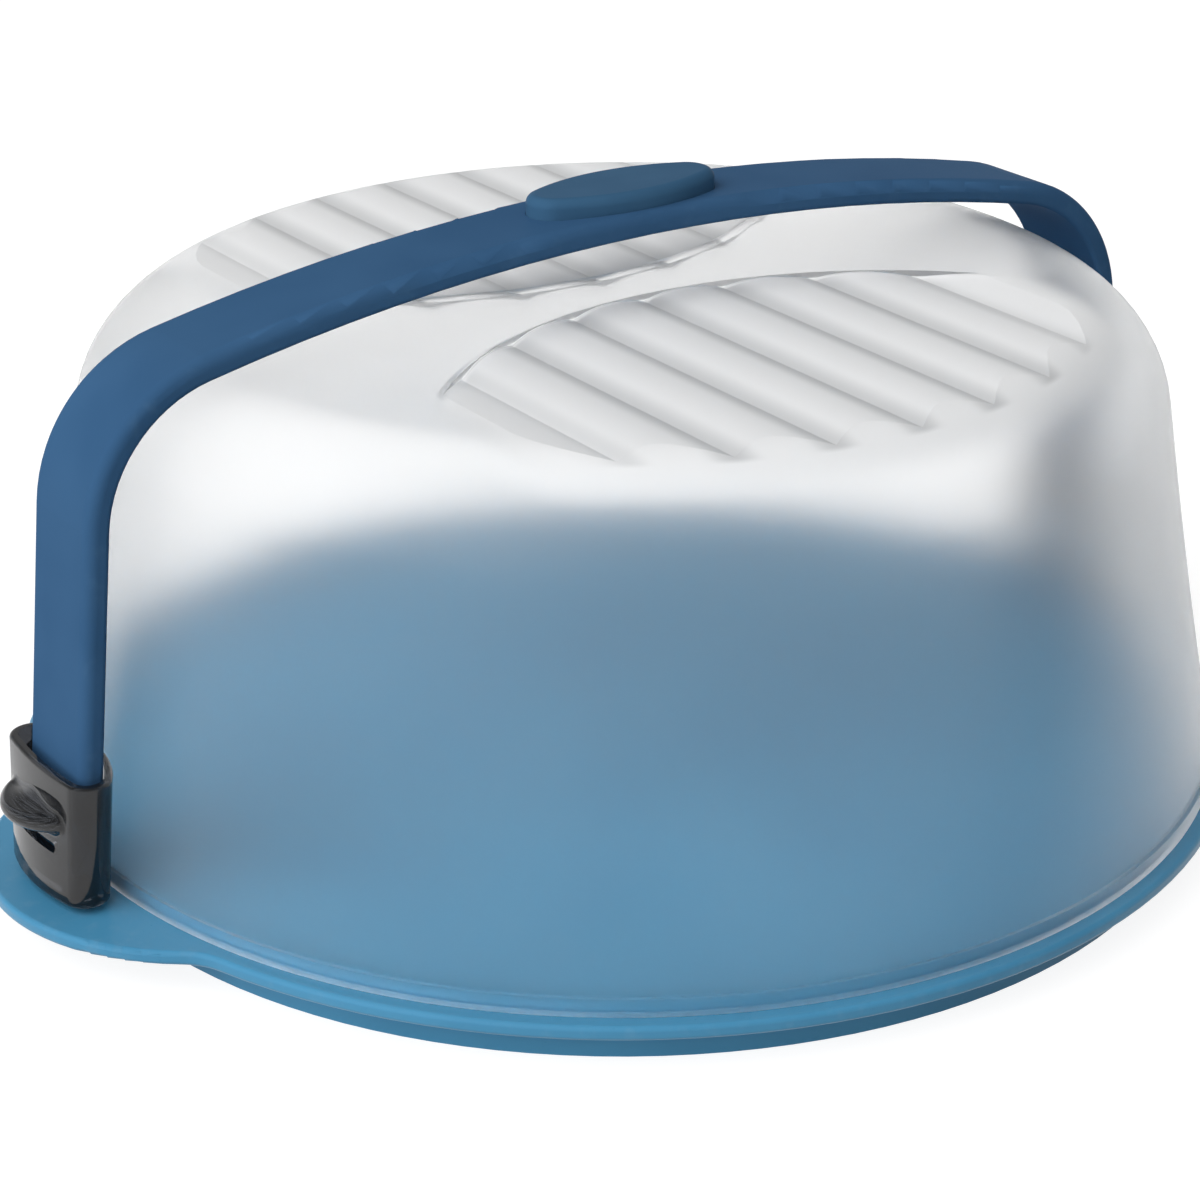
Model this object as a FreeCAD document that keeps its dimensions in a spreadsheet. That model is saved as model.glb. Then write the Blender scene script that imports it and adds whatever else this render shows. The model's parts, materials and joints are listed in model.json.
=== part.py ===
import FreeCAD, Part
import math
import os
import Sketcher

# Cake carrier: base tray, frosted dome, strap handle, oval badge, two rocking clips and their pins.
# Millimetres, +Z up, +X through the ears, origin on the floor under the middle of the dome.

DRIVING_SIZES = [
    # base tray
    ("base_height", 12.8),
    ("flange_margin", 3.8),
    ("flange_depth", 3.6),
    ("foot_inset", 8.9),
    ("foot_wall", 2.6),
    ("floor_depth", 2.4),
    ("base_round", 1.2),
    ("ear_reach", 19.8),
    ("ear_radius", 55.7),
    ("ear_blend", 16.0),
    ("locator_height", 2.6),
    ("locator_wall", 2.0),
    ("locator_play", 0.6),
    # catch post on each ear
    ("post_width", 20.0),
    ("post_depth", 4.0),
    ("post_gap", 1.0),
    ("nose_reach", 4.4),
    ("nose_tip", 1.2),
    ("nose_ramp", 5.3),
    # dome cover
    ("seat_gap", 0.3),
    ("dome_radius", 152.4),
    ("dome_rise", 118.1),
    ("dome_wall", 2.0),
    ("band_height", 4.6),
    ("band_step", 0.9),
    ("shoulder_radius", 29.0),
    ("wall_flare", 2.3),
    ("wall_lean_share", 0.15),
    # ribbed panels in the dome's top
    ("panel_gap", 9.4),
    ("panel_sweep", 106.5),
    ("panel_depth", 1.8),
    ("panel_run", 16.0),
    ("panel_run_bow", 0.5),
    ("rib_pitch", 22.3),
    ("rib_step", 0.25),
    # strap handle
    ("handle_width", 29.0),
    ("handle_depth", 6.0),
    ("handle_round", 3.0),
    ("handle_inner_round", 1.4),
    ("hand_gap", 16.2),
    ("arch_radius", 567.0),
    ("bend_radius", 34.8),
    ("leg_gap", 2.85),
    ("leg_foot", 21.0),
    ("leg_lean_share", 0.103),
    # oval badge
    ("badge_length", 53.0),
    ("badge_width", 23.0),
    ("badge_rise", 4.5),
    ("badge_sink", 1.3),
    ("badge_end_radius", 7.0),
    ("badge_round", 2.4),
    ("badge_play", 0.15),
    ("peg_radius", 2.0),
    ("peg_length", 2.6),
    ("peg_spacing", 26.0),
    ("peg_play", 0.05),
    # hinge pins
    ("pin_radius", 1.5),
    ("pin_rise", 6.2),
    ("pin_fit", 0.02),
    ("pin_play", 0.05),
    ("pin_socket", 2.2),
    ("pin_chamfer", 0.3),
    # clips
    ("clip_wall", 2.0),
    ("clip_rim", 6.0),
    ("clip_foot_gap", 1.5),
    ("clip_dome_gap", 0.7),
    ("clip_strap_gap", 2.6),
    ("clip_nose_gap", 4.4),
    ("clip_back_gap", 3.2),
    ("clip_boss_gap", 1.0),
    ("clip_side_taper", 1.5),
    ("clip_corner", 5.7),
    ("clip_swell_top", 1.0),
    ("clip_swell_foot", 2.0),
    ("clip_foot_round", 1.6),
    ("clip_rim_round", 0.8),
    ("back_sill", 0.5),
    ("boss_wall", 1.2),
    ("boss_length", 2.6),
    ("side_play", 0.35),
    ("hook_height", 5.9),
    ("hook_tip", 1.0),
    ("latch_play", 0.6),
    ("slot_width", 19.0),
    ("slot_height", 2.6),
    ("slot_drop", 11.9),
    ("slot_end_bow", 1.0),
    # finger lip, swept round an upright line behind the pin
    ("lip_axis", 0.8),
    ("lip_root", 8.1),
    ("lip_reach", 15.1),
    ("lip_top", 1.6),
    ("lip_tip_top", 3.2),
    ("lip_tip_under", 7.2),
    ("lip_under", 8.6),
    ("lip_scoop_bow", 1.5),
    ("lip_tip_bow", 1.3),
    ("lip_round", 1.0),
    ("lip_blend", 1.8),
    # how far a cutting shape runs past what it cuts
    ("overrun", 1.0),
]

RIBS_EACH_SIDE = 3
LIP_SWEEP_DEGREES = 140
TOLERANCE_SHARE = 0.0001

doc = FreeCAD.newDocument("cake_carrier")
sheet = doc.addObject("Spreadsheet::Sheet", "sizes")
for row, (alias, number) in enumerate(DRIVING_SIZES, start=1):
    sheet.set(f"A{row}", alias)
    sheet.set(f"B{row}", str(number))
    sheet.setAlias(f"B{row}", alias)
doc.recompute()


class Size:
    # A length with the sheet formula that drives it, so geometry starts true and stays bound.
    def __init__(self, value, text):
        self.value = value
        self.text = text

    def join(self, other, mark, value):
        return Size(value, f"({self.text} {mark} {as_size(other).text})")

    def __add__(self, other):
        return self.join(other, "+", self.value + as_size(other).value)

    def __sub__(self, other):
        return self.join(other, "-", self.value - as_size(other).value)

    def __mul__(self, other):
        return self.join(other, "*", self.value * as_size(other).value)

    def __truediv__(self, other):
        return self.join(other, "/", self.value / as_size(other).value)

    def __radd__(self, other):
        return as_size(other) + self

    def __rsub__(self, other):
        return as_size(other) - self

    def __rmul__(self, other):
        return as_size(other) * self

    def __rtruediv__(self, other):
        return as_size(other) / self

    def __neg__(self):
        return Size(-self.value, f"(0 - {self.text})")

    def root(self):
        return Size(math.sqrt(self.value), f"sqrt({self.text})")


def as_size(number):
    if isinstance(number, Size):
        return number
    return Size(float(number), repr(number))


def size(alias):
    return Size(float(sheet.get(alias)), f"sizes.{alias}")


def bow_radius(half_chord, rise):
    # Radius of an arc from half its chord and its rise.
    return (half_chord * half_chord + rise * rise) / (2 * rise)


def blend(first, second, part):
    # The size that lies a given part of the way from the first to the second.
    return first + (second - first) * part


def bind(thing, prop, amount):
    thing.setExpression(prop, as_size(amount).text)


def sketch_in(body, name, plane, **offset):
    sketch = body.newObject("Sketcher::SketchObject", name)
    planes = [feature for feature in body.Origin.OriginFeatures if feature.Role == plane]
    sketch.AttachmentSupport = [(planes[0], "")]
    sketch.MapMode = "FlatFace"
    for axis, amount in offset.items():
        bind(sketch, f"AttachmentOffset.Base.{axis}", amount)
    return sketch


def upright_sketch(name):
    sketch = doc.addObject("Sketcher::SketchObject", name)
    turn = FreeCAD.Rotation(FreeCAD.Vector(1, 0, 0), 90)
    sketch.Placement = FreeCAD.Placement(FreeCAD.Vector(0, 0, 0), turn)
    return sketch


def draw(sketch, corners):
    # A closed outline. Each corner is (x, y), or (x, y, radius, side) where an arc runs to the next one:
    # side is +1 where the arc swells to the left of its run and -1 where it swells to the right.
    points = [(as_size(corner[0]), as_size(corner[1])) for corner in corners]
    first = sketch.GeometryCount
    ends = []
    radii = []
    for place, corner in enumerate(corners):
        start = FreeCAD.Vector(points[place][0].value, points[place][1].value, 0)
        follower = points[(place + 1) % len(points)]
        finish = FreeCAD.Vector(follower[0].value, follower[1].value, 0)
        if len(corner) == 2:
            sketch.addGeometry(Part.LineSegment(start, finish), False)
            ends.append((1, 2))
            continue
        radius, side = corner[2], corner[3]
        run = finish - start
        left = FreeCAD.Vector(-run.y, run.x, 0).normalize()
        rise = radius.value - math.sqrt(radius.value ** 2 - (run.Length / 2) ** 2)
        middle = (start + finish) / 2 + left * (rise * side)
        if side < 0:
            sketch.addGeometry(Part.Arc(start, middle, finish), False)
            ends.append((1, 2))
        else:
            sketch.addGeometry(Part.Arc(finish, middle, start), False)
            ends.append((2, 1))
        radii.append((first + place, radius))
    rules = []
    formulas = []
    for place, (across, up) in enumerate(points):
        edge, point = first + place, ends[place][0]
        before = first + (place - 1) % len(points)
        rules.append(Sketcher.Constraint("Coincident", before, ends[place - 1][1], edge, point))
        for kind, axis, amount in (("DistanceX", -2, across), ("DistanceY", -1, up)):
            if amount.text in ("0", "0.0"):
                rules.append(Sketcher.Constraint("PointOnObject", edge, point, axis))
                continue
            formulas.append((len(rules), amount))
            rules.append(Sketcher.Constraint(kind, -1, 1, edge, point, amount.value))
    for edge, radius in radii:
        formulas.append((len(rules), radius))
        rules.append(Sketcher.Constraint("Radius", edge, radius.value))
    start_of_rules = sketch.ConstraintCount
    sketch.addConstraint(rules)
    for place, amount in formulas:
        bind(sketch, f"Constraints[{start_of_rules + place}]", amount)


def circle(sketch, across, up, radius):
    across, up = as_size(across), as_size(up)
    centre = FreeCAD.Vector(across.value, up.value, 0)
    edge = sketch.addGeometry(Part.Circle(centre, FreeCAD.Vector(0, 0, 1), radius.value), False)
    for kind, axis, amount in (("DistanceX", -2, across), ("DistanceY", -1, up)):
        if amount.text in ("0", "0.0"):
            sketch.addConstraint(Sketcher.Constraint("PointOnObject", edge, 3, axis))
            continue
        place = sketch.addConstraint(Sketcher.Constraint(kind, -1, 1, edge, 3, amount.value))
        bind(sketch, f"Constraints[{place}]", amount)
    place = sketch.addConstraint(Sketcher.Constraint("Radius", edge, radius.value))
    bind(sketch, f"Constraints[{place}]", radius)


def feature_on(body, kind, name, sketch, length=None, symmetric=False, reverse=False):
    feature = body.newObject(f"PartDesign::{kind}", name)
    feature.Profile = sketch
    if length is not None:
        bind(feature, "Length", length)
    if symmetric:
        feature.Midplane = True
    if reverse:
        feature.Reversed = True
    doc.recompute()
    return feature


def turned(body, name, sketch, degrees, symmetric=False):
    feature = body.newObject("PartDesign::Revolution", name)
    feature.Profile = sketch
    feature.ReferenceAxis = (sketch, ["V_Axis"])
    feature.Angle = degrees
    if symmetric:
        feature.Midplane = True
    doc.recompute()
    return feature


def lofted(body, kind, name, first, last):
    feature = body.newObject(f"PartDesign::{kind}", name)
    feature.Profile = first
    feature.Sections = [last]
    feature.Ruled = True
    doc.recompute()
    return feature


def rounded(body, kind, name, prop, amount, chosen):
    # A fillet or chamfer on the edges of the body's last feature that the test chooses.
    base = body.Tip
    names = [f"Edge{place}" for place, edge in enumerate(base.Shape.Edges, start=1) if chosen(edge)]
    feature = body.newObject(f"PartDesign::{kind}", name)
    feature.Base = (base, names)
    bind(feature, prop, amount)
    doc.recompute()
    return feature


def heights(edge):
    return edge.BoundBox.ZMin, edge.BoundBox.ZMax


def near(one, other):
    return abs(one - other) < TOLERANCE_SHARE * base_radius.value


# Levels and places shared by the pieces

base_height = size("base_height")
clear = size("overrun")
dome_radius = size("dome_radius")
base_radius = dome_radius + size("flange_margin")
dome_wall = size("dome_wall")
dome_foot = base_height + size("seat_gap")
dome_top = dome_foot + size("dome_rise")
handle_width = size("handle_width")
handle_depth = size("handle_depth")
leg_foot = base_height + size("leg_foot")
leg_lean = size("leg_lean_share")
leg_slant = (1 + leg_lean * leg_lean).root()
pin_radius = size("pin_radius")
pin_height = leg_foot + size("pin_rise")
leg_inside = dome_radius + size("leg_gap")
leg_half = handle_depth * leg_slant / 2
pin_reach = leg_inside - leg_lean * size("pin_rise") + leg_half
hook_top = base_height + size("hook_height")


def base_tray():
    body = doc.addObject("PartDesign::Body", "base_tray")
    foot_radius = base_radius - size("foot_inset")
    foot_inside = foot_radius - size("foot_wall")
    flange_under = base_height - size("flange_depth")
    floor_under = base_height - size("floor_depth")
    locator_outside = dome_radius - size("band_step") - dome_wall - size("locator_play")
    locator_inside = locator_outside - size("locator_wall")
    locator_top = base_height + size("locator_height")
    section = sketch_in(body, "tray_section", "XZ_Plane")
    draw(section, [
        (0, floor_under),
        (foot_inside, floor_under),
        (foot_inside, 0),
        (foot_radius, 0),
        (foot_radius, flange_under),
        (base_radius, flange_under),
        (base_radius, base_height),
        (locator_outside, base_height),
        (locator_outside, locator_top),
        (locator_inside, locator_top),
        (locator_inside, base_height),
        (0, base_height),
    ])
    turned(body, "tray_plate", section, 360)

    # Each ear is an arc that runs into the round flange through two hollow blends.
    ear_radius = size("ear_radius")
    ear_blend = size("ear_blend")
    ear_centre = base_radius + size("ear_reach") - ear_radius
    blend_far = base_radius + ear_blend
    blend_near = ear_radius + ear_blend
    centres = ear_centre * ear_centre + blend_far * blend_far - blend_near * blend_near
    blend_across = centres / (2 * ear_centre)
    blend_up = (blend_far * blend_far - blend_across * blend_across).root()
    flange_across = blend_across * base_radius / blend_far
    flange_up = blend_up * base_radius / blend_far
    ear_across = ear_centre + (blend_across - ear_centre) * ear_radius / blend_near
    ear_up = blend_up * ear_radius / blend_near
    for name, side in (("left", -1), ("right", 1)):
        plan = sketch_in(body, f"{name}_ear_plan", "XY_Plane", z=flange_under)
        draw(plan, [
            (side * flange_across, -flange_up, ear_blend, side),
            (side * ear_across, -ear_up, ear_radius, -side),
            (side * ear_across, ear_up, ear_blend, side),
            (side * flange_across, flange_up),
        ])
        feature_on(body, "Pad", f"{name}_ear", plan, size("flange_depth"))

    rim_levels = (flange_under.value, base_height.value)
    clear_of_dome = (dome_radius + size("seat_gap")).value

    def on_rim(edge):
        low, high = heights(edge)
        middle = edge.valueAt((edge.FirstParameter + edge.LastParameter) / 2)
        at_rim = math.hypot(middle.x, middle.y) > clear_of_dome
        return at_rim and near(low, high) and any(near(low, level) for level in rim_levels)

    rounded(body, "Fillet", "rim_round", "Radius", size("base_round"), on_rim)

    # The catch post of each ear, with a nose that the clip's hook sits under.
    post_inside = dome_radius + size("post_gap")
    post_outside = post_inside + size("post_depth")
    nose_under = hook_top + size("latch_play")
    nose_top = nose_under + size("nose_tip")
    nose_out = pin_reach + size("nose_reach")
    post_top = leg_foot - size("seat_gap")
    root = base_height - size("base_round")
    for name, side in (("left", -1), ("right", 1)):
        profile = sketch_in(body, f"{name}_post_profile", "XZ_Plane")
        draw(profile, [
            (side * post_inside, root),
            (side * post_outside, root),
            (side * post_outside, nose_under),
            (side * nose_out, nose_under),
            (side * nose_out, nose_top),
            (side * post_outside, nose_top + size("nose_ramp")),
            (side * post_outside, post_top),
            (side * post_inside, post_top),
        ])
        feature_on(body, "Pad", f"{name}_post", profile, size("post_width"), symmetric=True)
    return body


def dome_solid(name, inset):
    # The dome as a full turned solid, drawn in from its outer face by the inset.
    outer_shoulder = size("shoulder_radius")
    lean = size("wall_lean_share")
    slant = (1 + lean * lean).root()
    outer_foot = dome_radius - size("band_step")
    foot_level = dome_foot + size("band_height")
    shoulder_level = dome_top - outer_shoulder
    outer_fall = shoulder_level + outer_shoulder * lean / slant - foot_level
    top_radius = outer_foot - size("wall_flare") - outer_fall * lean - outer_shoulder / slant
    # The wall leaves the shoulder at the lean and sweeps outwards to its foot.
    shoulder = outer_shoulder - inset
    wall_top = top_radius + shoulder / slant
    wall_top_level = shoulder_level + shoulder * lean / slant
    wall_foot = outer_foot - inset
    run = wall_foot - wall_top
    fall = wall_top_level - foot_level
    flare = (run - fall * lean) / slant
    sweep = (run * run + fall * fall) / (2 * flare)
    top = dome_top - inset
    section = upright_sketch(f"{name}_section")
    corners = [
        (0, dome_foot),
        (wall_foot, dome_foot),
        (wall_foot, foot_level, sweep, 1),
        (wall_top, wall_top_level, shoulder, -1),
        (top_radius, top),
        (0, top),
    ]
    if inset.value == 0:
        corners[1:2] = [(dome_radius, dome_foot), (dome_radius, foot_level)]
    draw(section, corners)
    solid = doc.addObject("Part::Revolution", name)
    solid.Source = section
    solid.Axis = FreeCAD.Vector(0, 0, 1)
    solid.Base = FreeCAD.Vector(0, 0, 0)
    solid.Angle = 360
    solid.Solid = True
    return solid


def panel_cutter(name, side, drop):
    # What is taken off the top for one crescent panel: round ribs along Y, inside a circle in plan.
    pitch = size("rib_pitch")
    valley = dome_top - size("panel_depth") - drop
    rib = bow_radius(pitch / 2, size("panel_depth") - size("rib_step"))
    lip = dome_top + clear - drop
    ramp_rise = size("panel_depth") + clear
    ramp_run = size("panel_run") * ramp_rise / size("panel_depth")
    ramp = bow_radius((ramp_run * ramp_run + ramp_rise * ramp_rise).root() / 2, size("panel_run_bow"))
    edge = RIBS_EACH_SIDE * pitch
    corners = [(-edge - ramp_run, lip, ramp, 1)]
    for place in range(-RIBS_EACH_SIDE, RIBS_EACH_SIDE):
        corners.append((place * pitch, valley, rib, 1))
    corners.append((edge, valley, ramp, 1))
    corners.append((edge + ramp_run, lip))
    ribs = upright_sketch(f"{name}_ribs")
    draw(ribs, corners)
    sheet_of_ribs = doc.addObject("Part::Extrusion", f"{name}_ribbing")
    sheet_of_ribs.Base = ribs
    sheet_of_ribs.DirMode = "Custom"
    sheet_of_ribs.Dir = FreeCAD.Vector(0, side, 0)
    bind(sheet_of_ribs, "LengthFwd", dome_radius)
    sheet_of_ribs.Solid = True
    sweep = size("panel_sweep") + drop
    disc = doc.addObject("Part::Cylinder", f"{name}_disc")
    bind(disc, "Radius", sweep)
    bind(disc, "Height", size("dome_rise"))
    bind(disc, "Placement.Base.y", side * (size("panel_gap") + size("panel_sweep")))
    bind(disc, "Placement.Base.z", valley - size("dome_rise") / 2)
    cutter = doc.addObject("Part::Common", name)
    cutter.Base = sheet_of_ribs
    cutter.Tool = disc
    return cutter


def dome_cover():
    skins = []
    for name, inset in (("dome_outside", as_size(0)), ("dome_inside", dome_wall)):
        skin = dome_solid(name, inset)
        for end, side in (("front", -1), ("back", 1)):
            cut = doc.addObject("Part::Cut", f"{name}_{end}_cut")
            cut.Base = skin
            cut.Tool = panel_cutter(f"{name}_{end}_panel", side, inset)
            skin = cut
        skins.append(skin)
    cover = doc.addObject("Part::Cut", "dome_cover")
    cover.Base = skins[0]
    cover.Tool = skins[1]
    return cover


def oval(sketch, grow):
    # Four arcs that meet smoothly: two round ends and two long sides.
    end_radius = size("badge_end_radius") + grow
    half_length = size("badge_length") / 2 + grow
    half_width = size("badge_width") / 2 + grow
    end_centre = half_length - end_radius
    squares = end_centre * end_centre + half_width * half_width - end_radius * end_radius
    side_radius = squares / (2 * (half_width - end_radius))
    side_centre = side_radius - half_width
    reach = side_radius / (side_radius - end_radius)
    across = end_centre * reach
    up = side_centre * reach - side_centre
    draw(sketch, [
        (across, -up, end_radius, -1),
        (across, up, side_radius, -1),
        (-across, up, end_radius, -1),
        (-across, -up, side_radius, -1),
    ])


handle_inside = dome_top + size("hand_gap")
handle_top = handle_inside + handle_depth
badge_seat = handle_top - size("badge_sink")


def carry_handle():
    body = doc.addObject("PartDesign::Body", "carry_handle")
    arch = size("arch_radius")
    bend = size("bend_radius")
    arch_centre = handle_inside - arch
    # The bend touches the leaning leg and the inside of the arch.
    start_across = leg_inside - bend / leg_slant
    start_up = leg_foot - bend * leg_lean / leg_slant - arch_centre
    along = (start_up - leg_lean * start_across) / leg_slant
    square = start_across * start_across + start_up * start_up
    climb = (along * along - square + (arch - bend) * (arch - bend)).root() - along
    bend_across = start_across - climb * leg_lean / leg_slant
    bend_up = start_up + climb / leg_slant
    reach = arch / (arch - bend)
    leg_top = (leg_inside - climb * leg_lean / leg_slant, leg_foot + climb / leg_slant)
    arch_end = (bend_across * reach, arch_centre + bend_up * reach)
    outer_reach = (arch + handle_depth) / (arch - bend)
    outer_leg_top = (leg_top[0] + handle_depth / leg_slant, leg_top[1] + handle_depth * leg_lean / leg_slant)
    outer_arch_end = (bend_across * outer_reach, arch_centre + bend_up * outer_reach)
    leg_outside = leg_inside + handle_depth * leg_slant
    outline = sketch_in(body, "strap_outline", "XZ_Plane")
    draw(outline, [
        (leg_inside, leg_foot),
        (leg_outside, leg_foot),
        (outer_leg_top[0], outer_leg_top[1], bend + handle_depth, -1),
        (outer_arch_end[0], outer_arch_end[1], arch + handle_depth, -1),
        (-outer_arch_end[0], outer_arch_end[1], bend + handle_depth, -1),
        (-outer_leg_top[0], outer_leg_top[1]),
        (-leg_outside, leg_foot),
        (-leg_inside, leg_foot),
        (-leg_top[0], leg_top[1], bend, 1),
        (-arch_end[0], arch_end[1], arch, 1),
        (arch_end[0], arch_end[1], bend, 1),
        (leg_top[0], leg_top[1]),
    ])
    feature_on(body, "Pad", "strap", outline, handle_width, symmetric=True)
    side_face = (handle_width / 2).value

    def long_edges(leg, grow):
        radii = [(arch + grow).value, (bend + grow).value]

        def chosen(edge):
            box = edge.BoundBox
            if not (near(box.YMin, box.YMax) and near(abs(box.YMin), side_face)):
                return False
            if hasattr(edge.Curve, "Radius"):
                return any(near(edge.Curve.Radius, radius) for radius in radii)
            upright = not near(box.ZMin, box.ZMax)
            return upright and near(max(abs(box.XMin), abs(box.XMax)), leg.value)

        return chosen

    rounded(body, "Fillet", "strap_round", "Radius", size("handle_round"),
            long_edges(leg_outside, handle_depth))
    rounded(body, "Fillet", "strap_inner_round", "Radius", size("handle_inner_round"),
            long_edges(leg_inside, 0))
    seat = sketch_in(body, "badge_seat_oval", "XY_Plane", z=badge_seat)
    oval(seat, size("badge_play"))
    feature_on(body, "Pocket", "badge_seat_cut", seat, size("badge_sink") + clear, reverse=True)
    holes = sketch_in(body, "peg_hole_circles", "XY_Plane", z=badge_seat)
    for side in (-1, 1):
        circle(holes, side * size("peg_spacing") / 2, 0, size("peg_radius") + size("peg_play"))
    feature_on(body, "Pocket", "peg_holes", holes, size("peg_length") + size("badge_play"))
    bores = sketch_in(body, "pin_bore_circles", "XZ_Plane")
    for side in (-1, 1):
        circle(bores, side * pin_reach, pin_height, pin_radius + size("pin_fit"))
    feature_on(body, "Pocket", "pin_bores", bores, handle_width + clear, symmetric=True)
    return body


def handle_badge():
    body = doc.addObject("PartDesign::Body", "handle_badge")
    plan = sketch_in(body, "badge_oval", "XY_Plane", z=badge_seat)
    oval(plan, as_size(0))
    thick = size("badge_sink") + size("badge_rise")
    feature_on(body, "Pad", "badge_pad", plan, thick)
    top = (badge_seat + thick).value
    rounded(body, "Fillet", "badge_round", "Radius", size("badge_round"),
            lambda edge: near(heights(edge)[0], top))
    pegs = sketch_in(body, "peg_circles", "XY_Plane", z=badge_seat)
    for side in (-1, 1):
        circle(pegs, side * size("peg_spacing") / 2, 0, size("peg_radius"))
    feature_on(body, "Pad", "pegs", pegs, size("peg_length"), reverse=True)
    return body


# Clip sizes, measured outwards, sideways and up from the pin

clip_wall = size("clip_wall")
clip_rim = size("clip_rim")
clip_foot = pin_height - base_height - size("clip_foot_gap")
strap_room = handle_width / 2 + size("side_play")
boss_end = strap_room + size("boss_length")
half_top = boss_end + size("clip_boss_gap") + clip_wall
half_foot = half_top - size("clip_side_taper")
back_top = leg_half + leg_lean * clip_rim + size("clip_back_gap") + clip_wall
back_foot = pin_reach - dome_radius - size("clip_dome_gap")
front_top = leg_half + size("clip_strap_gap") + clip_wall
front_foot = size("nose_reach") + size("clip_nose_gap") + clip_wall


def clip_section(body, name, level, inset):
    # A slice of the clip at a level over the pin: four arcs that meet smoothly, a face, a back and two ends.
    part = (clip_rim - level) / (clip_rim + clip_foot)
    front = blend(front_top, front_foot, part)
    back = blend(back_top, back_foot, part)
    swell = blend(size("clip_swell_top"), size("clip_swell_foot"), part)
    up = blend(half_top, half_foot, part) - size("clip_corner")
    across = front - swell - size("clip_corner")
    corner = size("clip_corner") - inset
    ends = []
    for reach, way in ((front - inset - across, 1), (back - inset + across, -1)):
        bulge = (up * up + reach * reach - corner * corner) / (2 * (reach - corner))
        share = bulge / (bulge - corner)
        centre = across + way * (reach - bulge)
        ends.append((centre + (across - centre) * share, up * share, bulge))
    face, rear = ends
    slice_plan = sketch_in(body, name, "XY_Plane", z=level)
    draw(slice_plan, [
        (face[0], -face[1], face[2], -1),
        (face[0], face[1], corner, -1),
        (rear[0], rear[1], rear[2], -1),
        (rear[0], -rear[1], corner, -1),
    ])
    return slice_plan


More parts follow.
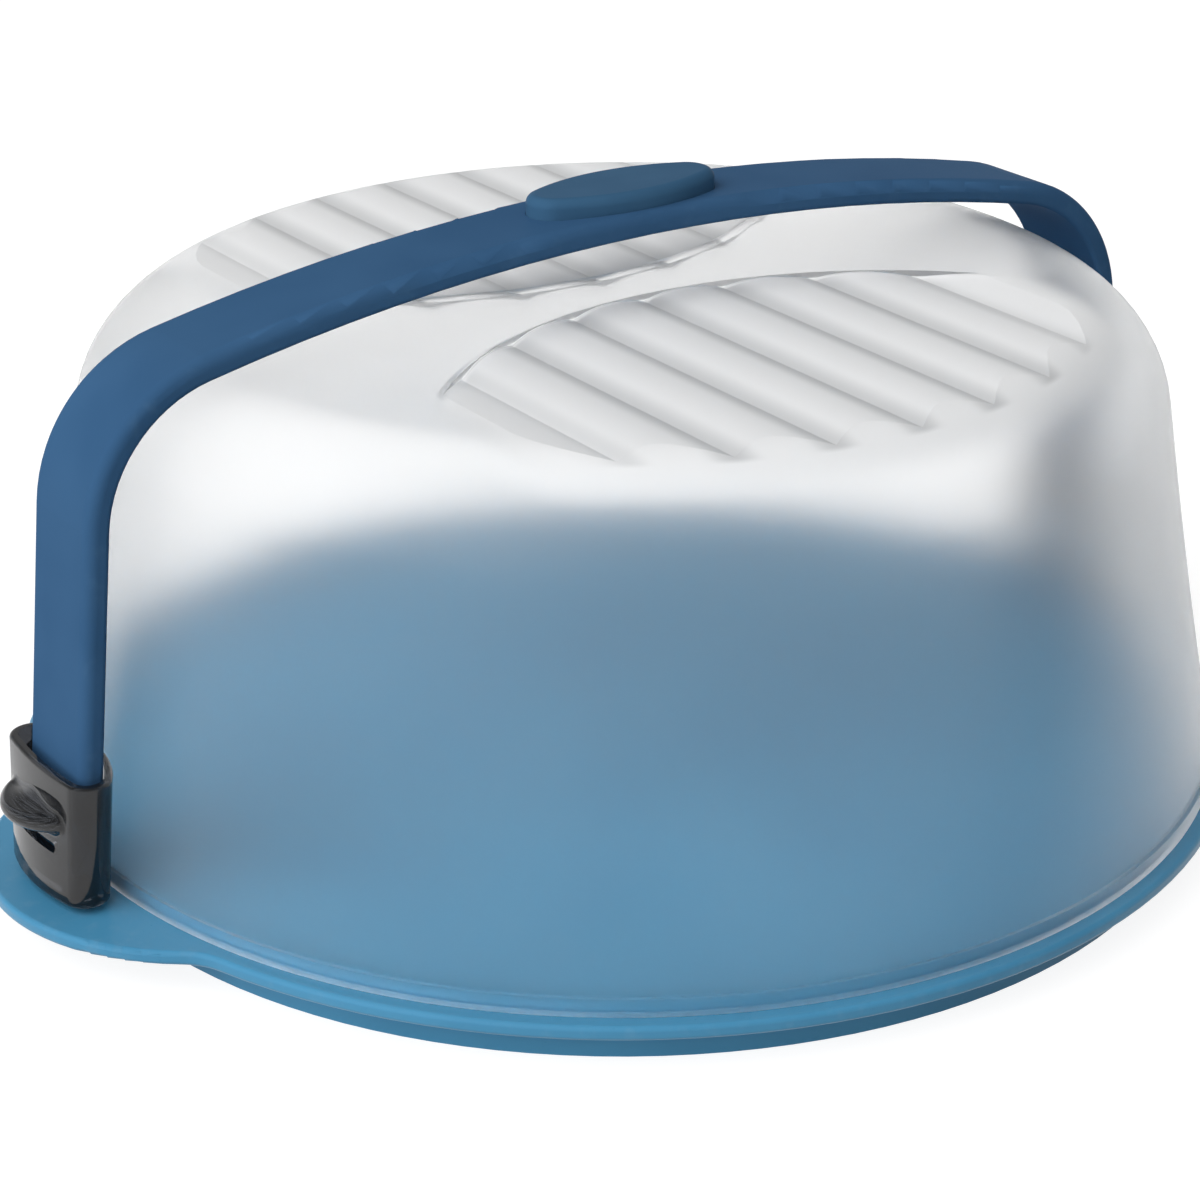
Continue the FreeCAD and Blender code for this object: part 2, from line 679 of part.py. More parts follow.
def clip(name, side):
    # Built about its own pin with the face outwards, then set on the pin at either end of the handle.
    body = doc.addObject("PartDesign::Body", name)
    none = as_size(0)
    rim_plan = clip_section(body, f"{name}_rim_plan", clip_rim, none)
    foot_plan = clip_section(body, f"{name}_foot_plan", -clip_foot, none)
    lofted(body, "AdditiveLoft", f"{name}_block", rim_plan, foot_plan)
    rounded(body, "Fillet", f"{name}_foot_round", "Radius", size("clip_foot_round"),
            lambda edge: near(heights(edge)[1], -clip_foot.value))
    rounded(body, "Fillet", f"{name}_rim_round", "Radius", size("clip_rim_round"),
            lambda edge: near(heights(edge)[0], clip_rim.value))

    # The finger lip, scooped on top.
    lip = sketch_in(body, f"{name}_lip_section", "XZ_Plane", x=-size("lip_axis"))
    lip_root, lip_reach = size("lip_root"), size("lip_reach")
    lip_slope = size("lip_under") - size("lip_tip_under")
    scoop_run = lip_reach - lip_root
    scoop_rise = size("lip_top") + size("lip_tip_top")
    scoop_chord = (scoop_run * scoop_run + scoop_rise * scoop_rise).root()
    scoop = bow_radius(scoop_chord / 2, size("lip_scoop_bow"))
    lip_tip = bow_radius((size("lip_tip_under") - size("lip_tip_top")) / 2, size("lip_tip_bow"))
    draw(lip, [
        (lip_root, -size("lip_under")),
        (lip_root + lip_slope, -size("lip_under")),
        (lip_reach, -size("lip_tip_under"), lip_tip, -1),
        (lip_reach, -size("lip_tip_top"), scoop, 1),
        (lip_root, size("lip_top")),
    ])
    turned(body, f"{name}_lip", lip, LIP_SWEEP_DEGREES, symmetric=True)

    def on_lip(edge):
        low, high = heights(edge)
        return low > -(size("lip_under") + clear).value and high < size("lip_top").value

    rounded(body, "Fillet", f"{name}_lip_round", "Radius", size("lip_round"),
            lambda edge: on_lip(edge) and near(*heights(edge)))
    rounded(body, "Fillet", f"{name}_lip_blend", "Radius", size("lip_blend"),
            lambda edge: on_lip(edge) and edge.BoundBox.XMax < front_foot.value)

    # The hollow that takes the strap, down to the top of the hook.
    hook_level = hook_top - pin_height
    hollow_top = clip_section(body, f"{name}_hollow_rim", clip_rim + clear, clip_wall)
    hollow_foot = clip_section(body, f"{name}_hollow_foot", hook_level, clip_wall)
    lofted(body, "SubtractiveLoft", f"{name}_hollow", hollow_top, hollow_foot)
    back_way = sketch_in(body, f"{name}_back_way_outline", "XZ_Plane")
    behind = back_top + clear
    below = -clip_foot - clear
    draw(back_way, [
        (-behind, below),
        (size("hook_tip"), below),
        (size("hook_tip"), size("back_sill")),
        (-behind, size("back_sill")),
    ])
    back_width = 2 * (half_foot - clip_wall)
    feature_on(body, "Pocket", f"{name}_back_way", back_way, back_width, symmetric=True)

    # Bosses that carry the pin's two ends.
    bosses = sketch_in(body, f"{name}_boss_circle", "XZ_Plane")
    boss_radius = pin_radius + size("boss_wall")
    circle(bosses, 0, 0, boss_radius)
    feature_on(body, "Pad", f"{name}_bosses", bosses, 2 * boss_end, symmetric=True)
    gap = sketch_in(body, f"{name}_boss_gap_circle", "XZ_Plane")
    circle(gap, 0, 0, boss_radius + clip_wall / 2)
    feature_on(body, "Pocket", f"{name}_boss_gap", gap, 2 * strap_room, symmetric=True)
    socket = sketch_in(body, f"{name}_socket_circle", "XZ_Plane")
    circle(socket, 0, 0, pin_radius + size("pin_play"))
    sockets = 2 * (strap_room + size("pin_socket"))
    feature_on(body, "Pocket", f"{name}_sockets", socket, sockets, symmetric=True)

    # The slot under the lip.
    slot = sketch_in(body, f"{name}_slot_outline", "YZ_Plane")
    slot_half = size("slot_width") / 2
    slot_low = -size("slot_drop") - size("slot_height") / 2
    slot_high = -size("slot_drop") + size("slot_height") / 2
    slot_end = bow_radius(size("slot_height") / 2, size("slot_end_bow"))
    draw(slot, [
        (-slot_half, slot_low),
        (slot_half, slot_low, slot_end, -1),
        (slot_half, slot_high),
        (-slot_half, slot_high, slot_end, -1),
    ])
    feature_on(body, "Pocket", f"{name}_slot", slot, lip_reach + clear, reverse=True)

    half_turn = FreeCAD.Rotation(FreeCAD.Vector(0, 0, 1), 180 if side < 0 else 0)
    body.Placement = FreeCAD.Placement(FreeCAD.Vector(0, 0, 0), half_turn)
    bind(body, "Placement.Base.x", side * pin_reach)
    bind(body, "Placement.Base.z", pin_height)
    return body


def clip_pin(name, side):
    body = doc.addObject("PartDesign::Body", name)
    ring = sketch_in(body, f"{name}_circle", "XZ_Plane")
    circle(ring, side * pin_reach, pin_height, pin_radius)
    length = 2 * (strap_room + size("pin_socket") - size("side_play"))
    feature_on(body, "Pad", f"{name}_rod", ring, length, symmetric=True)
    rounded(body, "Chamfer", f"{name}_ends", "Size", size("pin_chamfer"),
            lambda edge: near(edge.BoundBox.YMin, edge.BoundBox.YMax))
    return body


subparts = [
    base_tray(),
    dome_cover(),
    carry_handle(),
    handle_badge(),
    clip("left_clip", -1),
    clip("right_clip", 1),
    clip_pin("left_clip_pin", -1),
    clip_pin("right_clip_pin", 1),
]
doc.recompute()

for thing in doc.Objects:
    if "Invalid" in thing.State or "Error" in thing.State:
        raise RuntimeError(f"{thing.Label} failed: {thing.State}")
os.makedirs("parts", exist_ok=True)
for subpart in subparts:
    shape = subpart.Shape
    if shape.isNull() or not shape.isValid():
        raise RuntimeError(f"{subpart.Label} has no valid shape")
    box = shape.optimalBoundingBox()
    print(f"{subpart.Label}: {len(shape.Solids)} solid, {shape.Volume / 1000:.2f} cm3,"
          f" x {box.XMin:.1f} to {box.XMax:.1f}, y {box.YMin:.1f} to {box.YMax:.1f},"
          f" z {box.ZMin:.1f} to {box.ZMax:.1f}")
    shape.exportStep(f"parts/{subpart.Label}.step")
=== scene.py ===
import json
import math
import bpy
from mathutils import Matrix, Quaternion, Vector


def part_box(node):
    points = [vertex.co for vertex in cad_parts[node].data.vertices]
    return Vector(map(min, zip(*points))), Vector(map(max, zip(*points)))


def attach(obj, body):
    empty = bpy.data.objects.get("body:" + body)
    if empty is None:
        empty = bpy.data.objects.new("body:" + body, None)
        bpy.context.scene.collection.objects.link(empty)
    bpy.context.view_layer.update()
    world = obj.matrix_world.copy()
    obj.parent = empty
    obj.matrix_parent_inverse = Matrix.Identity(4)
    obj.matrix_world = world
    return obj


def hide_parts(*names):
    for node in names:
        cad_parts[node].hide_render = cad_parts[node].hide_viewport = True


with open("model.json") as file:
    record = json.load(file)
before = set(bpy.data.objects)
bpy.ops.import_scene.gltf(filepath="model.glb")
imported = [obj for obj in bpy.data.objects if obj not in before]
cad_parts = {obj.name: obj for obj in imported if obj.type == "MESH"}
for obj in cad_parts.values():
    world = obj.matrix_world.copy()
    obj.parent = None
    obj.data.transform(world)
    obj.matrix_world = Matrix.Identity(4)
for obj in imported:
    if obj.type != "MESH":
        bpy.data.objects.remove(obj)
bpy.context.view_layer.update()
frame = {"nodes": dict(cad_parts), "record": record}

print("stage: frame loaded,", len(frame["nodes"]), "nodes")


class Sock:
    # a socket of a node tree that can be added, multiplied and so on
    def __init__(self, tree, socket=None):
        self.tree = tree
        self.socket = socket

    def node(self, kind, settings=None, values=None, out=0):
        made = self.tree.nodes.new(kind)
        for key, value in (settings or {}).items():
            setattr(made, key, value)
        for key, value in (values or {}).items():
            for item in value if isinstance(value, list) else [value]:
                if isinstance(item, Sock):
                    self.tree.links.new(item.socket, made.inputs[key])
                else:
                    made.inputs[key].default_value = item
        return Sock(self.tree, made.outputs[out] if len(made.outputs) else None)

    def other(self, name):  # another output of the same node
        return Sock(self.tree, self.socket.node.outputs[name])

    def maths(self, operation, *values, clamp=False):
        settings = {"operation": operation, "use_clamp": clamp}
        return self.node("ShaderNodeMath", settings, dict(enumerate(values)))

    def __add__(self, other):
        return self.maths("ADD", self, other)

    def __radd__(self, other):
        return self.maths("ADD", other, self)

    def __sub__(self, other):
        return self.maths("SUBTRACT", self, other)

    def __rsub__(self, other):
        return self.maths("SUBTRACT", other, self)

    def __mul__(self, other):
        return self.maths("MULTIPLY", self, other)

    def __rmul__(self, other):
        return self.maths("MULTIPLY", other, self)

    def __truediv__(self, other):
        return self.maths("DIVIDE", self, other)

    def __rtruediv__(self, other):
        return self.maths("DIVIDE", other, self)

    def __pow__(self, other):
        return self.maths("POWER", self, other)

    def __abs__(self):
        return self.maths("ABSOLUTE", self)

    def step(self, low, high):  # 0 below low, 1 above high, smooth between
        return self.node("ShaderNodeMapRange", {"interpolation_type": "SMOOTHSTEP"},
                         {"Value": self, "From Min": low, "From Max": high})

    def tint(self, first, second):  # a colour mix with self as the factor
        return self.node("ShaderNodeMix", {"data_type": "RGBA"}, {0: self, 6: first, 7: second}, out=2)

    def parts(self):  # x, y and z of a vector
        split = self.node("ShaderNodeSeparateXYZ", None, {0: self})
        return split, split.other("Y"), split.other("Z")

    def vector(self, x, y, z):
        return self.node("ShaderNodeCombineXYZ", None, {0: x, 1: y, 2: z})


# dome: a turned shell with two ribbed crescent panels cut into its top

domeLow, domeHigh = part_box("dome_cover")
domeSize = {  # metres, but lean is a slope
    "rimRadius": (domeHigh[0] - domeLow[0]) / 2,
    "footLevel": domeLow[2],
    "topLevel": domeHigh[2],
    "wall": 0.002,
    "bandHeight": 0.0046,
    "bandStep": 0.0009,
    "shoulder": 0.029,
    "flare": 0.0023,
    "lean": 0.15,
    "panelGap": 0.0094,
    "panelSweep": 0.1065,
    "panelDepth": 0.0018,
    "panelRun": 0.016,
    "runBow": 0.0005,
    "ribPitch": 0.0223,
    "ribStep": 0.00025,
}
domeMesh = {
    "profile": ("floor", "band", "step", "wall", "shoulder", "top"),  # one after the other along the grid
    "turns": 240,
    "stepsPerPart": 14,
    "ribsEachSide": 3,
    "stepsPerRib": 24,
    "stepsAlong": 24,
    "rampExtra": 3,  # steps that a ramp has over a rib's
    "spare": 0.001,  # how far a cutter runs past what it cuts
    "overTop": 0.005,
    "blockHeight": 0.02,
    "discHeight": 0.06,
    "merge": 1e-6,
    "crease": math.radians(6),
}


def newShape(name, sizes):
    tree = bpy.data.node_groups.new(name, "GeometryNodeTree")
    tree.interface.new_socket("Shape", in_out="OUTPUT", socket_type="NodeSocketGeometry")
    for label in sizes:
        tree.interface.new_socket(label, in_out="INPUT", socket_type="NodeSocketFloat")
    tree.interface.new_socket("finish", in_out="INPUT", socket_type="NodeSocketMaterial")
    start = Sock(tree).node("NodeGroupInput")
    return start, {label: start.other(label) for label in [*sizes, "finish"]}


def makeShape(name, start, shape, sizes, finish):
    tree = start.tree
    start.node("NodeGroupOutput", None, {0: shape})
    piece = bpy.data.objects.new(name, bpy.data.meshes.new(name))
    bpy.context.scene.collection.objects.link(piece)
    grown = piece.modifiers.new("shape", "NODES")
    grown.node_group = tree
    for item in tree.interface.items_tree:
        if item.in_out == "INPUT":
            grown[item.identifier] = finish if item.name == "finish" else sizes[item.name]
    mesh = bpy.data.meshes.new_from_object(piece.evaluated_get(bpy.context.evaluated_depsgraph_get()))
    piece.modifiers.remove(grown)
    piece.data = mesh
    mesh.name = name
    return piece


def domeSkin(start, size, inset, outside):
    # the outer or the inner face of the shell, closed by a floor
    lean = size["lean"]
    slant = start.maths("SQRT", 1 + lean * lean)
    shoulder = size["shoulder"] - inset
    centreLevel = size["topLevel"] - size["shoulder"]
    bandTop = size["footLevel"] + size["bandHeight"]
    outerFall = centreLevel + size["shoulder"] * lean / slant - bandTop
    wallFoot = size["rimRadius"] - size["bandStep"]
    topRadius = wallFoot - size["flare"] - outerFall * lean - size["shoulder"] / slant
    run = wallFoot - inset - topRadius - shoulder / slant
    fall = centreLevel + shoulder * lean / slant - bandTop
    flare = (run - fall * lean) / slant
    profile = domeMesh["profile"]
    grid = start.node("GeometryNodeMeshGrid", None, {
        "Size X": 1.0, "Size Y": 1.0,
        "Vertices X": domeMesh["turns"] + 1,
        "Vertices Y": len(profile) * domeMesh["stepsPerPart"] + 1})
    around, along, _ = grid.other("UV Map").parts()
    share = {}  # how much of each part of the profile is behind a point
    for order, part in enumerate(profile):
        share[part] = start.maths("SUBTRACT", along * len(profile), order, clamp=True)
    swingStart = start.maths("ARCTANGENT", lean)
    swing = swingStart + (math.pi / 2 - swingStart) * share["shoulder"]
    foot = size["footLevel"] if outside else size["footLevel"] - domeMesh["spare"]
    floorRadius = size["rimRadius"] if outside else wallFoot - inset
    radius = floorRadius * share["floor"] - run * share["wall"]
    radius = radius - flare * share["wall"] * (1 - share["wall"]) - topRadius * share["top"]
    radius = radius - shoulder * (start.maths("COSINE", swingStart) - start.maths("COSINE", swing))
    if outside:
        radius = radius - size["bandStep"] * share["step"]
    level = foot + (bandTop - foot) * share["band"] + fall * share["wall"]
    level = level + shoulder * (start.maths("SINE", swing) - start.maths("SINE", swingStart))
    turn = around * (2 * math.pi)
    place = start.vector(radius * start.maths("COSINE", turn), radius * start.maths("SINE", turn), level)
    skin = start.node("GeometryNodeSetPosition", None, {"Geometry": grid, "Position": place})
    return start.node("GeometryNodeMergeByDistance", None, {"Geometry": skin, "Distance": domeMesh["merge"]})


def joinShapes(start, operation, values):
    return start.node("GeometryNodeMeshBoolean", {"operation": operation, "solver": "MANIFOLD"}, values)


def panelCutter(start, size, drop):
    # round ribs side by side under a block, with a ramp at each end, kept inside a circle in plan
    pitch, depth = size["ribPitch"], size["panelDepth"]
    half, rise = pitch / 2, depth - size["ribStep"]
    bow = (half * half + rise * rise) / (2 * rise)
    ribs, stepsPerRib = domeMesh["ribsEachSide"], domeMesh["stepsPerRib"]
    edge = pitch * ribs
    rampRise = depth + domeMesh["spare"]
    rampRun = size["panelRun"] * rampRise / depth
    rampSteps = stepsPerRib + domeMesh["rampExtra"]
    wide = pitch * (2 * (ribs + rampSteps / stepsPerRib))
    block = start.node("GeometryNodeMeshCube", None, {
        "Size": start.vector(wide, size["rimRadius"], domeMesh["blockHeight"]),
        "Vertices X": 2 * (ribs * stepsPerRib + rampSteps) + 1,
        "Vertices Y": domeMesh["stepsAlong"], "Vertices Z": 2})
    x, y, z = start.node("GeometryNodeInputPosition").parts()
    inRib = start.maths("LESS_THAN", abs(x), edge + domeMesh["merge"])
    fromCrest = start.maths("FLOORED_MODULO", abs(x), pitch) - half
    rib = start.maths("SQRT", bow * bow - fromCrest * fromCrest) - bow + rise
    climb = (abs(x) - edge) / rampRun
    ramp = rampRise * climb + 4 * size["runBow"] * climb * (1 - climb)
    under = size["topLevel"] - depth - drop + inRib * rib + (1 - inRib) * ramp
    isTop = start.maths("GREATER_THAN", z, 0.0)
    level = isTop * (size["topLevel"] + domeMesh["overTop"]) + (1 - isTop) * under
    block = start.node("GeometryNodeSetPosition", None, {
        "Geometry": block, "Position": start.vector(x, y - size["rimRadius"] / 2, level)})
    disc = start.node("GeometryNodeMeshCylinder", None, {
        "Vertices": domeMesh["turns"], "Radius": size["panelSweep"] + drop, "Depth": domeMesh["discHeight"]})
    middle = start.vector(0.0, 0 - size["panelGap"] - size["panelSweep"], size["topLevel"])
    disc = start.node("GeometryNodeTransform", None, {"Geometry": disc, "Translation": middle})
    return joinShapes(start, "INTERSECT", {"Mesh 2": [block, disc]})


def makeDome(finish):
    start, size = newShape("domeShell", domeSize)
    halfTurn = (0, 0, math.pi)
    skins = []
    for inset, outside in ((0.0, True), (size["wall"], False)):
        front = panelCutter(start, size, inset)
        back = start.node("GeometryNodeTransform", None, {"Geometry": front, "Rotation": halfTurn})
        skin = domeSkin(start, size, inset, outside)
        skins.append(joinShapes(start, "DIFFERENCE", {"Mesh 2": [front, back], "Mesh 1": skin}))
    shell = joinShapes(start, "DIFFERENCE", {"Mesh 2": [skins[1]], "Mesh 1": skins[0]})
    smooth = start.node("GeometryNodeSetShadeSmooth", {"domain": "FACE"}, {"Geometry": shell})
    bend = start.node("GeometryNodeInputMeshEdgeAngle")
    sharp = start.node("FunctionNodeCompare", {"operation": "GREATER_THAN"},
                       {0: bend, 1: domeMesh["crease"]})
    creased = start.node("GeometryNodeSetShadeSmooth", {"domain": "EDGE"}, {
        "Geometry": smooth, "Selection": sharp, "Shade Smooth": False})
    whole = start.node("GeometryNodeRealizeInstances", None, {"Geometry": creased})
    done = start.node("GeometryNodeSetMaterial", None, {"Geometry": whole, "Material": size["finish"]})
    return makeShape("domeShell", start, done, domeSize, finish)


# finishes: a noise is given as features per metre and detail, a bump as strength and height in metres,
# and a span as the two values between which something fades in

def newFinish(name):
    finish = bpy.data.materials.new(name)
    finish.use_nodes = True
    finish.node_tree.nodes.clear()
    return finish, Sock(finish.node_tree)


def endFinish(tree, shader):
    tree.node("ShaderNodeOutputMaterial", None, {"Surface": shader})


def ownPlace(tree):
    return tree.node("ShaderNodeTexCoord").other("Object")


def colour(r, g, b):
    return (r, g, b, 1.0)


def speckle(place, scale, detail):  # noise around 0.5
    return place.node("ShaderNodeTexNoise", None, {"Vector": place, "Scale": scale, "Detail": detail})


def spread(noise, width):  # noise moved to around 0
    return (noise - 0.5) * width


def bumped(tree, height, strength, distance):
    values = {"Strength": strength, "Distance": distance, "Height": height}
    return tree.node("ShaderNodeBump", None, values)


def mouldedShader(tree, place, look, edge):  # dyed plastic with a fine grain, rubbed paler along its edge
    grain = speckle(place, *look["grain"])
    base = speckle(place, *look["cloud"]).step(*look["cloudSpan"]).tint(look["blue"], look["deep"])
    rub = edge * speckle(place, *look["rub"]).step(*look["rubSpan"]) * look["rubShare"]
    return tree.node("ShaderNodeBsdfPrincipled", None, {
        "Base Color": rub.tint(base, look["worn"]), "Specular IOR Level": look["specular"],
        "Roughness": look["rough"] + spread(grain, look["grainRough"]) + rub * look["rubRough"],
        "Normal": bumped(tree, grain, *look["grainBump"])})


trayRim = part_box("base_tray")[1][1]  # the flange's radius
trayLook = {
    "blue": colour(0.064, 0.256, 0.430),
    "deep": colour(0.057, 0.236, 0.404),
    "worn": colour(0.115, 0.285, 0.440),
    "rough": 0.30,
    "specular": 0.22,
    "grain": (1500.0, 3.0),
    "grainRough": 0.12,
    "grainBump": (0.12, 0.00006),
    "cloud": (22.0, 2.0),
    "cloudSpan": (0.35, 0.7),
    "rub": (260.0, 4.0),
    "rubSpan": (0.5, 0.75),
    "rubShare": 0.35,
    "rubRough": 0.2,
    "edgeSpan": (trayRim - 0.0012, trayRim + 0.0002),
}


def trayFinish():
    finish, tree = newFinish("trayBlue")
    place = ownPlace(tree)
    x, y, _ = place.parts()
    edge = tree.maths("SQRT", x * x + y * y).step(*trayLook["edgeSpan"])
    endFinish(tree, mouldedShader(tree, place, trayLook, edge))
    return finish


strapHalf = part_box("carry_handle")[1][1]  # half the strap's width
strapLook = {
    "blue": colour(0.040, 0.104, 0.209),
    "deep": colour(0.034, 0.092, 0.190),
    "worn": colour(0.060, 0.135, 0.245),
    "rough": 0.5,
    "specular": 0.005,
    "grain": (2200.0, 3.0),
    "grainRough": 0.16,
    "grainBump": (0.2, 0.00005),
    "cloud": (30.0, 2.0),
    "cloudSpan": (0.35, 0.7),
    "rub": (180.0, 4.0),
    "rubSpan": (0.52, 0.8),
    "rubShare": 0.4,
    "rubRough": -0.15,
    "edgeSpan": (strapHalf - 0.002, strapHalf - 0.0004),
}


def strapFinish():
    finish, tree = newFinish("strapBlue")
    place = ownPlace(tree)
    edge = abs(place.parts()[1]).step(*strapLook["edgeSpan"])
    endFinish(tree, mouldedShader(tree, place, strapLook, edge))
    return finish


badgeLook = {
    "blue": colour(0.037, 0.100, 0.186),
    "pale": colour(0.042, 0.110, 0.200),
    "rough": 0.36,
    "specular": 0.005,
    "grain": (1800.0, 3.0),
    "grainRough": 0.1,
    "grainBump": (0.06, 0.00005),
    "cloud": (60.0, 2.0),
    "cloudSpan": (0.3, 0.7),
}


def badgeFinish():
    finish, tree = newFinish("badgeBlue")
    place = ownPlace(tree)
    grain = speckle(place, *badgeLook["grain"])
    cloud = speckle(place, *badgeLook["cloud"]).step(*badgeLook["cloudSpan"])
    shader = tree.node("ShaderNodeBsdfPrincipled", None, {
        "Base Color": cloud.tint(badgeLook["blue"], badgeLook["pale"]),
        "Specular IOR Level": badgeLook["specular"],
        "Roughness": badgeLook["rough"] + spread(grain, badgeLook["grainRough"]),
        "Normal": bumped(tree, grain, *badgeLook["grainBump"])})
    endFinish(tree, shader)
    return finish


domeLook = {  # clear frosted plastic, with a share of milky plastic mixed in
    "clear": colour(1.0, 1.0, 1.0),
    "rough": 0.305,
    "bend": 1.19,
    "frost": (2600.0, 2.0),
    "frostRough": 0.03,
    "frostBump": (0.05, 0.00004),
    "cloud": (35.0, 3.0),
    "cloudRough": 0.02,
    "milk": colour(0.975, 0.98, 0.985),
    "milkRough": 0.5,
    "milkThrough": 0.15,
    "milkBend": 1.5,
    "veil": 0.012,  # the share of milk all over
    "veilCloud": (0.7, 0.6),  # its least, and what the cloud adds
    "topVeil": 0.05,
    "topSpan": (0.010, 0.0005),  # depths under the top
    "panelVeil": 0.85,
    "panelEdge": (0.0, 0.002),  # distances inside the panel's curved edge
    "panelReach": (0.078, 0.090),  # distances to the side, where the panel's milk fades out
    "sideVeil": 0.2,
    "sideBlend": 0.5,
    "sidePower": 3,
    # painted shade: the colour of all painted shade on the dome, and where it falls on the upright step of
    # each panel
    "paintedShadeColour": colour(0.20, 0.21, 0.22),
    "stepUpright": (0.5, 0.9),
    "stepSpan": (0.0045, 0.0025),
    # painted shadow: a thin dark line along the panel's curved edge
    "paintedCreaseShadow": 0.95,
    "creaseEdge": (0.00045, 0.0009),
    "creaseReach": (0.059, 0.074),
    # painted shade in the valleys between the ribs
    "paintedValleyShade": 0.42,
    "valleyEdge": (0.0, 0.007),
    "valleySpan": (0.0027, 0.0019),
}


def domeFinish():
    finish, tree = newFinish("frostedClear")
    place = ownPlace(tree)
    x, y, z = place.parts()

    def nearTop(name):
        deep, full = domeLook[name]
        return z.step(domeSize["topLevel"] - deep, domeSize["topLevel"] - full)

    def within(distance, name):
        return 1 - distance.step(*domeLook[name])

    frost = speckle(place, *domeLook["frost"])
    cloud = speckle(place, *domeLook["cloud"])
    normal = bumped(tree, frost, *domeLook["frostBump"])
    rough = domeLook["rough"] + spread(frost, domeLook["frostRough"]) + spread(cloud, domeLook["cloudRough"])
    clear = tree.node("ShaderNodeBsdfPrincipled", None, {
        "Base Color": domeLook["clear"], "Roughness": rough, "Transmission Weight": 1.0,
        "IOR": domeLook["bend"], "Normal": normal})

    sweep = domeSize["panelSweep"]
    behind = abs(y) - domeSize["panelGap"] - sweep
    inside = sweep - tree.maths("SQRT", x * x + behind * behind)  # distance inside the panel's curved edge
    inReach = within(abs(x), "creaseReach")
    onPanel = inside.step(*domeLook["panelEdge"]) * within(abs(x), "panelReach")

    # painted shade: darker on the upright step, a painted shadow line along the curved edge and painted
    # shade in the valleys between the ribs
    upright = 1 - abs(tree.node("ShaderNodeNewGeometry").other("True Normal").parts()[2])
    # painted shadow line along the panel's curved edge
    crease = inReach * within(abs(inside), "creaseEdge") * domeLook["paintedCreaseShadow"]
    pitch = domeSize["ribPitch"]
    fromValley = abs(tree.maths("FLOORED_MODULO", x + pitch / 2, pitch) - pitch / 2)
    # painted shade: the milk darkened in the valleys between the ribs
    valley = onPanel * inReach * within(fromValley, "valleyEdge") * domeLook["paintedValleyShade"]
    paintedShade = tree.maths("MAXIMUM", upright.step(*domeLook["stepUpright"]), crease)
    paintedShade = tree.maths("MAXIMUM", paintedShade, valley * nearTop("valleySpan")) * nearTop("stepSpan")
    # the milk's colour carries the painted shade
    milk = tree.node("ShaderNodeBsdfPrincipled", None, {
        "Base Color": paintedShade.tint(domeLook["milk"], domeLook["paintedShadeColour"]),
        "Roughness": domeLook["milkRough"], "Transmission Weight": domeLook["milkThrough"],
        "IOR": domeLook["milkBend"], "Normal": normal})

    onTop = nearTop("topSpan")
    least, more = domeLook["veilCloud"]
    facing = tree.node("ShaderNodeLayerWeight", None, {"Blend": domeLook["sideBlend"]}).other("Facing")
    veil = domeLook["veil"] * (least + cloud * more)
    veil = veil + (domeLook["topVeil"] + domeLook["panelVeil"] * onPanel) * onTop
    veil = veil + (facing ** domeLook["sidePower"]) * domeLook["sideVeil"] * (1 - onTop)
    endFinish(tree, tree.node("ShaderNodeMixShader", None, {0: veil, 1: clear, 2: milk}))
    return finish


clipLook = {
    "smoke": colour(0.075, 0.080, 0.090),
    "deep": colour(0.055, 0.058, 0.066),
    "rough": 0.02,
    "through": 0.9,
    "bend": 1.5,
    "swirl": (90.0, 3.0),
    "swirlSpan": (0.3, 0.7),
    "swirlBump": (0.04, 0.0004),
    "scuff": (900.0, 4.0),
    "scuffSpan": (0.55, 0.8),
    "scuffRough": 0.03,
}


def clipFinish():
    finish, tree = newFinish("smokyClear")
    place = ownPlace(tree)
    swirl = speckle(place, *clipLook["swirl"])
    scuff = speckle(place, *clipLook["scuff"]).step(*clipLook["scuffSpan"])
    shader = tree.node("ShaderNodeBsdfPrincipled", None, {
        "Base Color": swirl.step(*clipLook["swirlSpan"]).tint(clipLook["smoke"], clipLook["deep"]),
        "Roughness": clipLook["rough"] + scuff * clipLook["scuffRough"],
        "Transmission Weight": clipLook["through"], "IOR": clipLook["bend"],
        "Normal": bumped(tree, swirl, *clipLook["swirlBump"])})
    endFinish(tree, shader)
    return finish


pinLook = {
    "steel": colour(0.56, 0.56, 0.57),
    "dull": colour(0.42, 0.42, 0.43),
    "rough": 0.3,
    "drawn": (600.0, 3.0),
    "drawnAcross": 9.0,  # how much finer the lines are across the pin than along it
    "drawnRough": 0.2,
    "drawnBump": (0.15, 0.00003),
}


def pinFinish():
    finish, tree = newFinish("pinSteel")
    x, y, z = ownPlace(tree).parts()
    across = pinLook["drawnAcross"]
    drawn = speckle(tree.vector(x * across, y, z * across), *pinLook["drawn"])
    shader = tree.node("ShaderNodeBsdfPrincipled", None, {
        "Base Color": drawn.tint(pinLook["dull"], pinLook["steel"]), "Metallic": 1.0,
        "Roughness": pinLook["rough"] + spread(drawn, pinLook["drawnRough"]),
        "Normal": bumped(tree, drawn, *pinLook["drawnBump"])})
    endFinish(tree, shader)
    return finish


finishes = {
    "tray_blue": trayFinish(),
    "frosted_clear": domeFinish(),
    "handle_blue": strapFinish(),
    "badge_blue": badgeFinish(),
    "smoky_clear": clipFinish(),
    "pin_steel": pinFinish(),
}
for subpart in frame["record"]["subparts"]:
    node = frame["nodes"][subpart["node"]]
    node.data.materials.clear()
    node.data.materials.append(finishes[subpart["material_slot"]])
print("stage: finishes on the solids")

dome = makeDome(finishes["frosted_clear"])
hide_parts("dome_cover")
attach(dome, "dome")
print("stage: dome grown,", len(dome.data.polygons), "faces")


# floor, light and camera

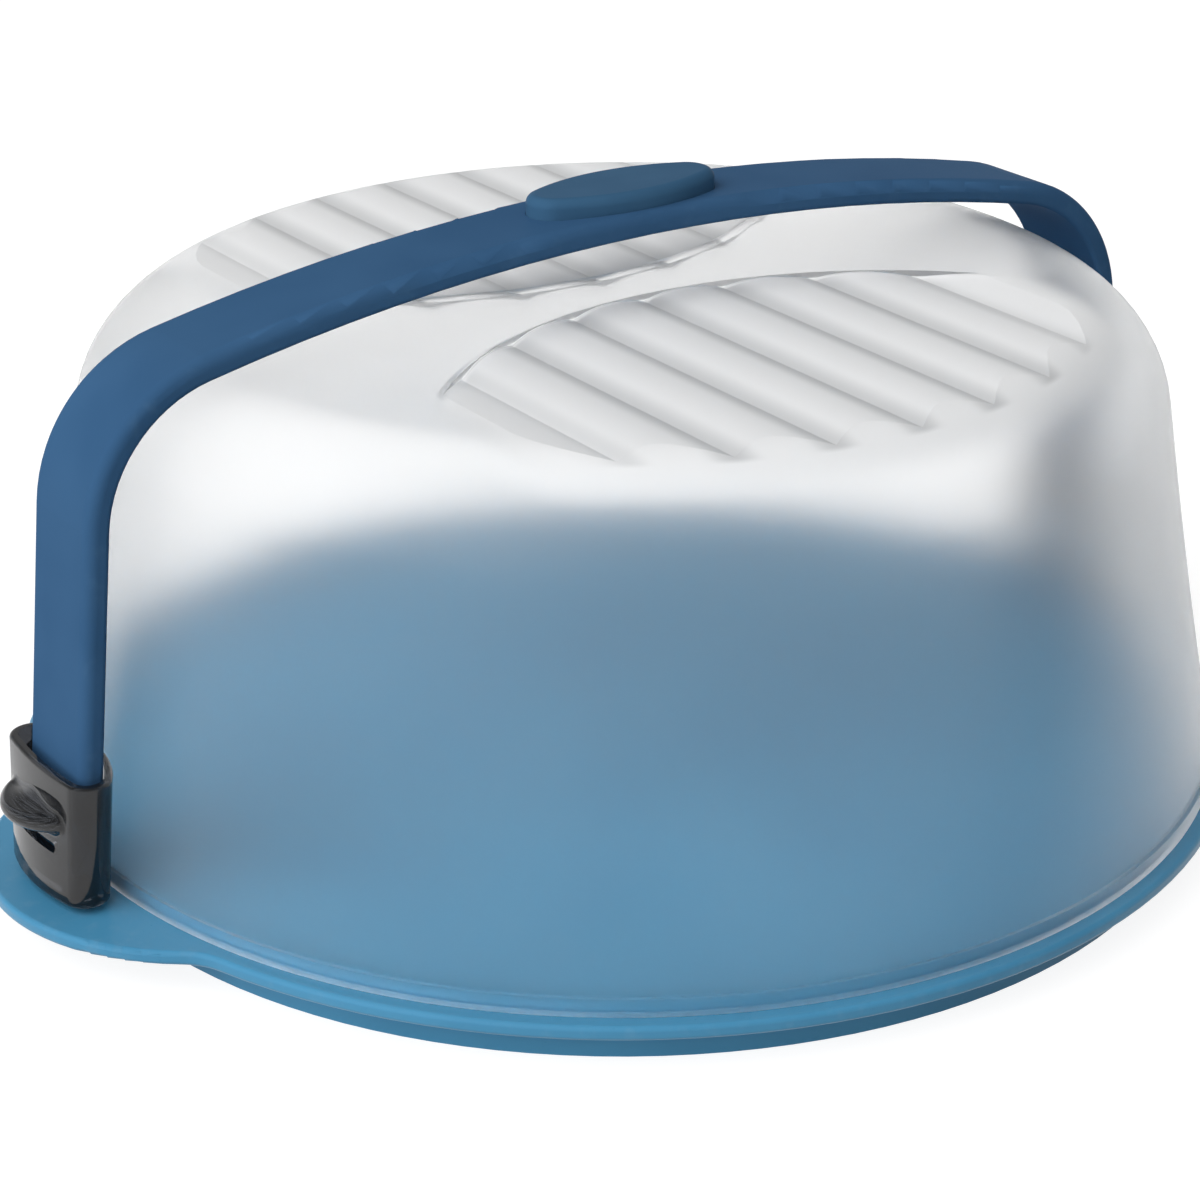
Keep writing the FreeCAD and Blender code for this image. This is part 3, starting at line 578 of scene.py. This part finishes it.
studio = {
    "floorSize": 6.0,
    "floorGlow": 0.87,  # its own light where it shows as background
    "floorPale": 0.25,  # its colour there, which takes the shadow
    "floorPlain": 0.5,  # its colour for all other light
    "skyLevel": 0.27,
    "skySpan": (0.1, 0.6),  # heights over which a mirrored sky stops being white
    "dulled": 0.38,  # white that is lost with each dull bounce
    "aimLevel": 0.06,
    "lamps": {  # place, size across and power
        "keyLamp": ((-2.07, -0.50, 1.70), 3.4, 106.0),
        "fillLamp": ((2.4, 0.3, 0.5), 2.0, 10.0),
    },
}


def grey(level):
    return colour(level, level, level)


def seenWhite(tree, mirrored):  # 1 where the background is seen, mirrored or shows through something clear
    path = tree.node("ShaderNodeLightPath")
    seen = path.other("Is Camera Ray") + path.other("Is Glossy Ray") * mirrored
    seen = tree.maths("MINIMUM", seen + path.other("Is Transmission Ray"), 1.0)
    return tree.maths("SUBTRACT", seen, path.other("Diffuse Depth") * studio["dulled"], clamp=True)


def makeFloor():
    half = studio["floorSize"] / 2
    corners = [(-half, -half, 0), (half, -half, 0), (half, half, 0), (-half, half, 0)]
    mesh = bpy.data.meshes.new("floor")
    mesh.from_pydata(corners, [], [(0, 1, 2, 3)])
    floor = bpy.data.objects.new("floor", mesh)
    bpy.context.scene.collection.objects.link(floor)
    finish, tree = newFinish("floorPale")
    plain = tree.node("ShaderNodeBsdfDiffuse", None, {"Color": grey(studio["floorPlain"])})
    lit = tree.node("ShaderNodeBsdfDiffuse", None, {"Color": grey(studio["floorPale"])})
    glow = tree.node("ShaderNodeEmission", None, {"Strength": studio["floorGlow"]})
    both = tree.node("ShaderNodeAddShader", None, {0: lit, 1: glow})
    endFinish(tree, tree.node("ShaderNodeMixShader", None, {0: seenWhite(tree, 1.0), 1: plain, 2: both}))
    mesh.materials.append(finish)


def makeSky():
    world = bpy.data.worlds.new("studio")
    bpy.context.scene.world = world
    world.use_nodes = True
    world.node_tree.nodes.clear()
    tree = Sock(world.node_tree)
    upward = tree.node("ShaderNodeTexCoord").other("Generated").parts()[2].step(*studio["skySpan"])
    level = seenWhite(tree, 1 - upward) * (1 - studio["skyLevel"]) + studio["skyLevel"]
    sky = tree.node("ShaderNodeBackground", None, {"Color": grey(1.0), "Strength": level})
    tree.node("ShaderNodeOutputWorld", None, {"Surface": sky})


def makeLamp(name, place, size, power):
    lamp = bpy.data.lights.new(name, "AREA")
    lamp.size = size
    lamp.energy = power
    holder = bpy.data.objects.new(name, lamp)
    holder.visible_glossy = False
    holder.location = place
    aim = Vector((0, 0, studio["aimLevel"])) - Vector(place)
    holder.rotation_euler = aim.to_track_quat("-Z", "Y").to_euler()
    bpy.context.scene.collection.objects.link(holder)


shot = {
    "place": (-0.4131, -0.6065, 0.3681),
    "ahead": (0.50938, 0.76077, -0.40219),
    "rollDegrees": -0.355,
    "lens": 92.84,
    "sensorWidth": 36,
}


def makeCamera():
    camera = bpy.data.cameras.new("camera")
    camera.sensor_width = shot["sensorWidth"]
    camera.lens = shot["lens"]
    holder = bpy.data.objects.new("camera", camera)
    holder.location = shot["place"]
    roll = Quaternion((0, 0, 1), math.radians(shot["rollDegrees"]))
    holder.rotation_euler = (Vector(shot["ahead"]).to_track_quat("-Z", "Y") @ roll).to_euler()
    bpy.context.scene.collection.objects.link(holder)
    bpy.context.scene.camera = holder


makeFloor()
makeSky()
for lampName, lampValues in studio["lamps"].items():
    makeLamp(lampName, *lampValues)
makeCamera()
bpy.context.scene.view_settings.view_transform = "Standard"
print("stage: studio ready")
